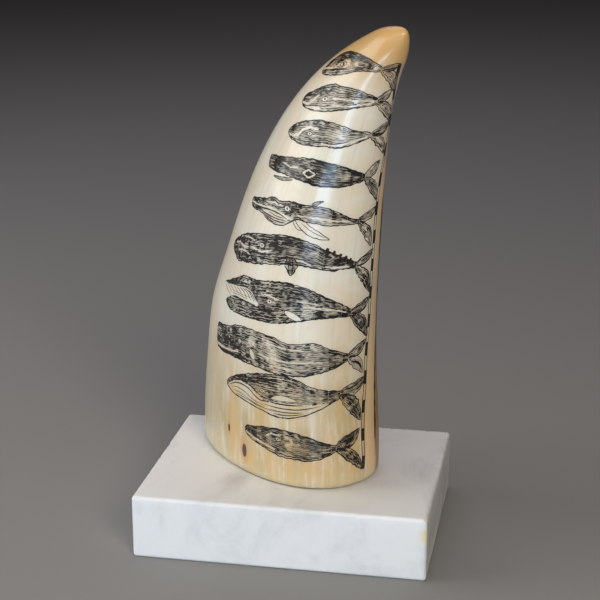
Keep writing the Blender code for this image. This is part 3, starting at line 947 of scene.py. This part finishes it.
def makeTooth(drawings):
    share, turn = skinGrid()
    rows, columns = share.shape
    grid = toothPoint(share, turn)
    ends = np.array([grid[0].mean(axis=0), toothPoint(1.0, 0.0)])
    points = np.concatenate([grid.reshape(-1, 3), ends])
    piece = makePiece("ivory_tooth", points, skinFaces(rows, columns), ivoryFinish())
    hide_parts("whale_tooth")

    up = (points[:, 2] - tooth["foot"]) / mm
    turns = np.concatenate([turn.ravel(), [0.0, 0.0]])
    shares = np.concatenate([share.ravel(), [0.0, 1.0]])
    along = readTable(chart["girth"], chart["levels"], chart["turns"], up, turns)
    stretch = readTable(chart["stretch"], chart["levels"], chart["turns"], up, turns)
    wash = np.zeros(len(points))
    for drawing in drawings:
        near = (np.abs(up - drawing.snout[0]) < marks["washReach"]) & (along < 0)
        wash[near] = np.maximum(wash[near], drawing.wash(up[near], along[near], stretch[near]))
    nameValues(piece, "inkWash", wash)

    footRing = toothPoint(np.full(len(turns), 0.05), turns) / mm
    flow = np.stack([footRing[:, 0], footRing[:, 1], shares * 9.0], 1)
    nameValues(piece, "flow", flow, "FLOAT_VECTOR")
    leftEdge = smoothStep(-along, *marks["leftEdge"])
    footRimGlow = 1 - smoothStep(up, *marks["footRimGlow"])
    nameValues(piece, "honey", smoothStep(up + marks["honeySlant"] * along, *marks["tipHoney"]))
    lowDown = (1 - smoothStep(up, *marks["lowDown"])) * (1 - marks["leftLess"] * leftEdge)
    nameValues(piece, "lowDown", lowDown)
    # Painted light through the thin root wall: greener along the lower left edge and round the foot
    oliveRootGlow = marks["oliveRootGlowStrength"] * leftEdge * (1 - smoothStep(up, *marks["oliveRootGlow"]))
    nameValues(piece, "oliveRootGlow", oliveRootGlow + marks["footRimGlowStrength"] * footRimGlow)
    belowTip = 1 - smoothStep(up, *marks["belowTip"])
    # The amber band from the ruled line is partly painted light, and the brown flank from the second line
    # partly painted shade.
    for name, line in (("edge", rulerPath), ("flankBrownAndShade", secondPath)):  # colours that begin at a ruled line
        away = along - smoothLine(line, np.clip(up, line[0][0], line[-1][0]))
        fading = 1 - smoothStep(along, *marks[name + "End"])
        nameValues(piece, name, smoothStep(away, *marks[name]) * fading * belowTip)
    spot = np.zeros(len(points))
    halo = np.zeros(len(points))
    for spotUp, spotAlong, wide, tall in marks["spots"]:
        away = np.hypot((along - spotAlong) / wide, (up - spotUp) / tall)
        spot = np.maximum(spot, 1 - smoothStep(away, *marks["spotReach"]))
        halo = np.maximum(halo, 1 - smoothStep(away, *marks["haloReach"]))
    blush = np.zeros(len(points))
    for placeUp, placeAlong, wide, tall, strength in marks["blushes"]:
        away = np.hypot((along - placeAlong) / wide, (up - placeUp) / tall)
        blush = np.maximum(blush, strength * np.exp(-(away**2)))
    nameValues(piece, "blush", blush)
    nameValues(piece, "spot", spot)
    nameValues(piece, "halo", halo)


# The marble block

def roundedBox(low, high, edge, cells):
    # Each face of the box is a grid. A point of it moves to the nearest point at the edge
    # radius from an inner box that is smaller by that radius all round.
    half = (high - low) / 2
    middle = (high + low) / 2
    points, faces, count = [], [], 0
    for axis in range(3):
        u, v = (axis + 1) % 3, (axis + 2) % 3
        lines = []
        for k in (u, v):
            inner = np.linspace(-half[k] + edge, half[k] - edge, cells[k] + 1)
            rim = edge * np.tan(np.linspace(math.pi / 4, 0, 5)[:-1])
            lines.append(np.concatenate([-half[k] + edge - rim, inner, half[k] - edge + rim[::-1]]))
        for sign in (-1, 1):
            grid = np.zeros((len(lines[0]), len(lines[1]), 3))
            grid[..., u], grid[..., v] = lines[0][:, None], lines[1][None, :]
            grid[..., axis] = sign * half[axis]
            inside = np.clip(grid, -half + edge, half - edge)
            away = grid - inside
            away /= np.linalg.norm(away, axis=-1, keepdims=True)
            points.append((inside + away * edge + middle).reshape(-1, 3))
            i, j = np.meshgrid(np.arange(len(lines[0]) - 1), np.arange(len(lines[1]) - 1), indexing="ij")
            a = count + i * len(lines[1]) + j
            square = [a, a + len(lines[1]), a + len(lines[1]) + 1, a + 1]
            faces.append(np.stack(square if sign > 0 else square[::-1], -1).reshape(-1, 4))
            count += grid.shape[0] * grid.shape[1]
    points = np.concatenate(points)
    _, first, index = np.unique(np.round(points, 7), axis=0, return_index=True, return_inverse=True)
    return points[first], index.reshape(-1)[np.concatenate(faces)].tolist()


def makeBlock():
    low, high = (np.array(corner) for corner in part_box("marble_base"))
    points, faces = roundedBox(low, high, marble["edgeRound"], marble["cells"])
    # Small nicks in the upper edges, where a noise is high
    middle = (low + high) / 2
    nearFace = (high - low) / 2 - np.abs(points - middle) < marble["edgeRound"]
    nearFace[:, 2] &= nearFace[:, :2].any(axis=1)
    depth = np.array([noise.noise(Vector(point) / marble["nickSize"]) for point in points])
    onTop = nearFace[:, 2] & (points[:, 2] > middle[2])
    depth = marble["nick"] * np.clip(depth - marble["nickFrom"], 0, 0.6) * onTop
    points -= np.sign(points - middle) * nearFace * depth[:, None]
    piece = makePiece("marble_block", points, faces, marbleFinish())
    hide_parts("marble_base")
    stained = np.array([high[0], low[1], marble["stainHeight"] * mm])
    away = np.linalg.norm((points - stained) / mm / marble["stainReach"], axis=1)
    nameValues(piece, "stain", marble["stainStrength"] * (1 - smoothStep(away, *marble["stainFade"])))
    # Grey clouds on the front, painted shadow on the top beside the tooth's foot, and painted shade over
    # the right side
    cloudsAndShade = np.zeros(len(points))
    for x, y, z, *reach in marble["cloudsAndShade"]:
        away = np.linalg.norm((points / mm - (x, y, z)) / reach, axis=1)
        cloudsAndShade = np.maximum(cloudsAndShade, np.exp(-(away**2)))
    nameValues(piece, "cloudsAndShade", cloudsAndShade)
    away = np.linalg.norm(points - (*marble["speckPlace"], high[2]), axis=1) / mm
    nameValues(piece, "speck", 1 - smoothStep(away, *marble["speckFade"]))


# Ruled lines down the front edge

def pathStroke(points, offset, widths):
    # A stroke along a chart path, moved round the tooth by an offset
    path = smoothPath(points, len(widths))
    return path[None, :, 0], path[None, :, 1] + offset, widths[None, :]


def makeRuler(finish):
    rng = np.random.default_rng(ruler["seed"])
    count = ruler["points"]
    wander = 0.8 + 0.4 * softNoise(rng, 1, count, 1, 60)[0]
    thin = ruler["lineWidth"] * wander
    path = smoothPath(rulerPath, count)
    travelled = np.concatenate([[0], np.cumsum(np.linalg.norm(np.diff(path, axis=0), axis=1))])
    phase = (travelled / ruler["block"]) % 2
    uneven = 0.85 + 0.3 * softNoise(rng, 1, count, 1, 40)[0]
    blocks = np.where(phase < 1, ruler["blockWidth"] * uneven, 0)
    offsets = (-ruler["halfGap"], thin), (ruler["halfGap"], thin), (0.0, blocks)
    strokes = [pathStroke(rulerPath, offset, widths) for offset, widths in offsets]
    makeInk("engraved_ruler", strokes, finish)
    ends = np.clip(np.minimum(np.linspace(0, 8, count), np.linspace(8, 0, count)), 0, 1)
    second = ruler["secondWidth"] * (0.75 + 0.5 * softNoise(rng, 1, count, 1, 50)[0]) * ends
    makeInk("engraved_edge_line", [pathStroke(secondPath, 0.0, second)], finish)


# Floor, light and camera

stage = {
    "floorReach": 3.0, "floorColour": (0.25, 0.245, 0.24, 1.0), "floorRoughness": 0.8,
    "airColour": (0.95, 0.93, 0.92, 1.0), "airStrength": 0.03,
    "middle": (0.0, 0.0, 0.0913),  # where the lamps point, if they don't say
    "lamps": [
        {"name": "window", "place": (-0.155, -0.727, 0.7613), "size": (1.2, 0.7), "power": 2.2,
         "colour": (1.0, 0.96, 0.90)},
        {"name": "left window", "place": (-0.64, -0.14, 0.3313), "size": (0.5, 0.6), "power": 2.8,
         "colour": (1.0, 0.985, 0.94)},
        {"name": "right fill", "place": (0.34, -0.62, 0.4513), "size": (0.3, 0.3), "power": 3.3,
         "colour": (1.0, 0.92, 0.78)},
        {"name": "ceiling", "place": (-0.15, 0.45, 1.0513), "size": (0.8, 0.8), "power": 2.75,
         "colour": (0.90, 0.87, 1.0)},
        {"name": "low glow", "place": (-0.05, -0.36, 0.0313), "size": (0.22, 0.05), "power": 0.44,
         "colour": (0.52, 0.73, 1.0), "target": (0.0, 0.0, 0.1313)},
    ],
}


def makeFloor():
    mesh = bpy.data.meshes.new("floor")
    size = stage["floorReach"]
    corners = [(-size, -size, 0), (size, -size, 0), (size, size, 0), (-size, size, 0)]
    mesh.from_pydata(corners, [], [(0, 1, 2, 3)])
    floor = bpy.data.objects.new("floor", mesh)
    bpy.context.scene.collection.objects.link(floor)
    constants = {"Base Color": stage["floorColour"], "Roughness": stage["floorRoughness"]}
    mesh.materials.append(Finish("pale_floor", constants).material)


def aimAt(obj, place, target):
    # Puts an object at a place, with its -Z towards the target and its X level
    back = np.array(place, float) - np.array(target, float)
    back /= np.linalg.norm(back)
    side = np.cross((0, 0, 1), back)
    side /= np.linalg.norm(side)
    up = np.cross(back, side)
    rows = [(*row, spot) for row, spot in zip(np.stack([side, up, back], 1), place)]
    obj.matrix_world = Matrix([*rows, (0, 0, 0, 1)])


def makeLight(lamp):
    data = bpy.data.lights.new(lamp["name"], "AREA")
    data.shape = "RECTANGLE"
    data.size, data.size_y = lamp["size"]
    data.energy = lamp["power"]
    data.color = lamp["colour"]
    light = bpy.data.objects.new(lamp["name"], data)
    bpy.context.scene.collection.objects.link(light)
    light.visible_camera = False
    aimAt(light, lamp["place"], lamp.get("target", stage["middle"]))


camera = {
    "lens": 93.77, "turn": 10.66, "pitch": 17.27, "distance": 0.535463,
    "target": (0.000532, 0.000100, 0.082481),
}


def makeCamera():
    turn, pitch = math.radians(camera["turn"]), math.radians(camera["pitch"])
    back = (math.sin(turn) * math.cos(pitch), -math.cos(turn) * math.cos(pitch), math.sin(pitch))
    data = bpy.data.cameras.new("camera")
    data.lens = camera["lens"]
    data.clip_start, data.clip_end = 0.01, 20.0
    view = bpy.data.objects.new("camera", data)
    bpy.context.scene.collection.objects.link(view)
    view.location = [t + camera["distance"] * b for t, b in zip(camera["target"], back)]
    view.rotation_euler = (math.pi / 2 - pitch, 0, turn)
    bpy.context.scene.camera = view


def makeStage():
    makeFloor()
    makeCamera()
    for lamp in stage["lamps"]:
        makeLight(lamp)
    world = bpy.data.worlds.new("pale room")
    world.use_nodes = True
    background = world.node_tree.nodes["Background"]
    background.inputs["Color"].default_value = stage["airColour"]
    background.inputs["Strength"].default_value = stage["airStrength"]
    bpy.context.scene.world = world
    bpy.context.scene.view_settings.view_transform = "Standard"


inkMaterial = inkFinish()
drawings = []
for number, whale in enumerate(whales):
    drawings.append(Drawing(whale, ink["firstSeed"] + number))
    makeInk(f"engraved_whale_{number + 1:02d}", drawings[-1].draw(), inkMaterial)
print("whales drawn")
makeRuler(inkMaterial)
print("ruled lines drawn")
makeTooth(drawings)
print("skin of the tooth made")
makeBlock()
print("marble block made")
makeStage()
